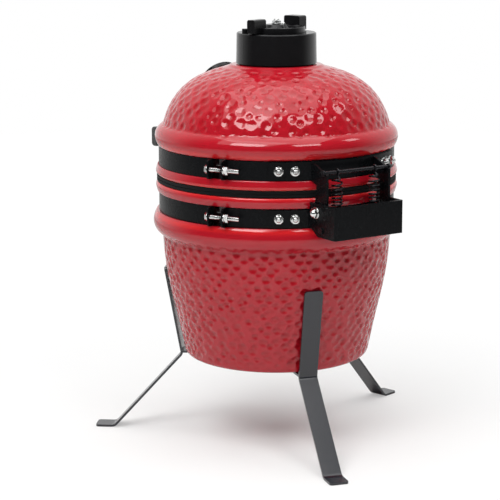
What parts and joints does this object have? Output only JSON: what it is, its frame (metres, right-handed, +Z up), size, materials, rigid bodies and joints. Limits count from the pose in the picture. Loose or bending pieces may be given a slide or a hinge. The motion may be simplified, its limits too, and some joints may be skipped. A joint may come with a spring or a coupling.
{
  "type": "kamado ceramic grill",
  "caption": "Small egg-shaped ceramic charcoal grill with a hinged dimpled lid, steel bands, top vent, draft door and a low flat-bar stand.",
  "frame": {"origin": "the ceramic body's axis at floor level", "axes": "+Z up along the body's axis, +Y towards the hinge at the back, -Y towards the handle, thermometer and draft door"},
  "size_m": [0.4435, 0.4479, 0.5625],
  "materials": {
    "glazed_ceramic": "gloss glaze, deep red",
    "fire_clay": "unglazed, matt",
    "felt": "matt black felt",
    "coated_steel": "satin black powder coat",
    "stand_steel": "dark grey powder coat",
    "spring_steel": "black oxide",
    "zinc_steel": "bright zinc plate",
    "cast_black": "satin black enamel on casting",
    "handle_black": "satin black",
    "draft_steel": "brushed stainless",
    "knob_black": "satin black",
    "gauge_black": "satin black enamel",
    "gauge_face": "matt white with plain markings",
    "gauge_glass": "clear",
    "gauge_pointer": "red lacquer",
    "cast_grate": "raw casting",
    "chrome_wire": "plated wire"
  },
  "bodies": {
    "base": {"base_shell": "glazed_ceramic", "base_gasket": "felt", "lower_band": "coated_steel", "lower_band_bolt": "zinc_steel", "lower_band_nut": "zinc_steel", "hinge_lower_bracket": "coated_steel", "hinge_pivot_bolts": "zinc_steel", "hinge_pivot_nuts": "zinc_steel", "anchor_bar": "spring_steel", "lower_bracket_bolts": "zinc_steel", "lower_bracket_nuts": "zinc_steel", "draft_frame": "draft_steel", "draft_frame_screws": "zinc_steel", "fire_box": "fire_clay", "fire_ring": "fire_clay", "stand_cradle": "stand_steel", "leg_left": "stand_steel", "leg_rear": "stand_steel", "leg_right": "stand_steel"},
    "lid": {"lid_shell": "glazed_ceramic", "lid_gasket": "felt", "upper_band": "coated_steel", "upper_band_bolt": "zinc_steel", "upper_band_nut": "zinc_steel", "hinge_upper_bracket": "coated_steel", "spring_bar": "spring_steel", "spring_left": "spring_steel", "spring_right": "spring_steel", "upper_bracket_bolts": "zinc_steel", "upper_bracket_nuts": "zinc_steel", "vent_collar": "cast_black", "vent_stud": "zinc_steel", "vent_stud_nut": "zinc_steel", "vent_cap_screw": "cast_black", "neck_gasket": "felt", "handle_grip": "handle_black", "handle_brackets": "coated_steel", "handle_screws": "zinc_steel", "thermometer_stem": "zinc_steel", "thermometer_case": "gauge_black", "thermometer_bezel": "gauge_black", "thermometer_dial": "gauge_face", "thermometer_lens": "gauge_glass", "thermometer_wing_nut": "zinc_steel"},
    "vent_damper": {"vent_wheel": "cast_black", "vent_hub_rivet": "zinc_steel"},
    "gauge_pointer": {"thermometer_pointer": "gauge_pointer"},
    "draft_slider": {"draft_door": "draft_steel", "draft_knob": "knob_black"},
    "cooking_grid": {"cooking_grate": "chrome_wire"},
    "charcoal_grid": {"charcoal_grate": "cast_grate"}
  },
  "joints": [
    {"name": "lid_hinge", "type": "hinge", "parent": "base", "child": "lid", "pos_m": [0, 0.167, 0.332], "axis": [-1, 0, 0], "range_deg": [0, 45], "stiffness_Nm_per_rad": 7.6, "springref_deg": 75.06, "deforming": ["spring_left", "spring_right"]},
    {"name": "vent_wheel_turn", "type": "hinge", "parent": "lid", "child": "vent_damper", "pos_m": [0, 0, 0.543], "axis": [0, 0, 1], "range_deg": [0, 36]},
    {"name": "pointer_sweep", "type": "hinge", "parent": "lid", "child": "gauge_pointer", "pos_m": [0, -0.14117, 0.4726], "axis": [0, 0.7314, -0.682], "range_deg": [0, 270]},
    {"name": "draft_door_slide", "type": "hinge", "parent": "base", "child": "draft_slider", "pos_m": [0, 0, 0.161], "axis": [0, 0, -1], "range_deg": [0, 32]},
    {"name": "cooking_grate_lift", "type": "slide", "parent": "base", "child": "cooking_grid", "axis": [0, 0, 1], "range_m": [0, 0.085]},
    {"name": "charcoal_grate_lift", "type": "slide", "parent": "base", "child": "charcoal_grid", "axis": [0, 0, 1], "range_m": [0, 0.12]}
  ]
}
